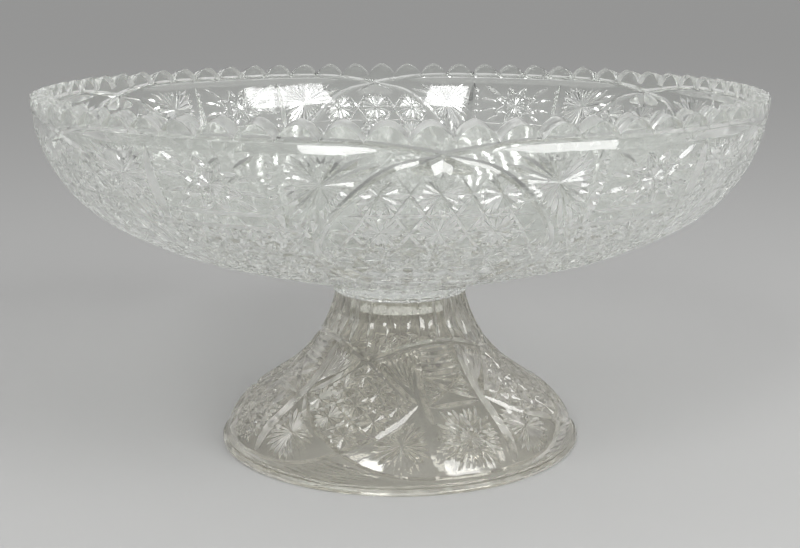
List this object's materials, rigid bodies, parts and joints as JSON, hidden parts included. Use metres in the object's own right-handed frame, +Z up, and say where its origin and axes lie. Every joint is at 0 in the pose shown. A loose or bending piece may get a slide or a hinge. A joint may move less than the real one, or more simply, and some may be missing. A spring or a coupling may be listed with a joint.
{
  "type": "trifle bowl",
  "caption": "Wide clear glass bowl with a scalloped rim and cut pattern, resting by a fluted collar on a hollow flared glass stand; the bowl lifts off.",
  "frame": {"origin": "on the table at the centre of the stand's foot", "axes": "+Z up along the axis of the bowl and the stand; the rim's arches repeat round it; +X to the right of the viewer and -Y towards the viewer"},
  "size_m": [0.26, 0.26, 0.1324],
  "materials": {
    "bowl_glass": "fire-polished pressed soda-lime glass, very slightly cool",
    "stand_glass": "fire-polished pressed soda-lime glass, very slightly warm"
  },
  "bodies": {
    "stand": {"stand": "stand_glass"},
    "bowl": {"bowl": "bowl_glass"}
  },
  "joints": [
    {"name": "bowl_lift", "type": "slide", "parent": "stand", "child": "bowl", "axis": [0, 0, 1], "range_m": [0, 0.06]}
  ]
}
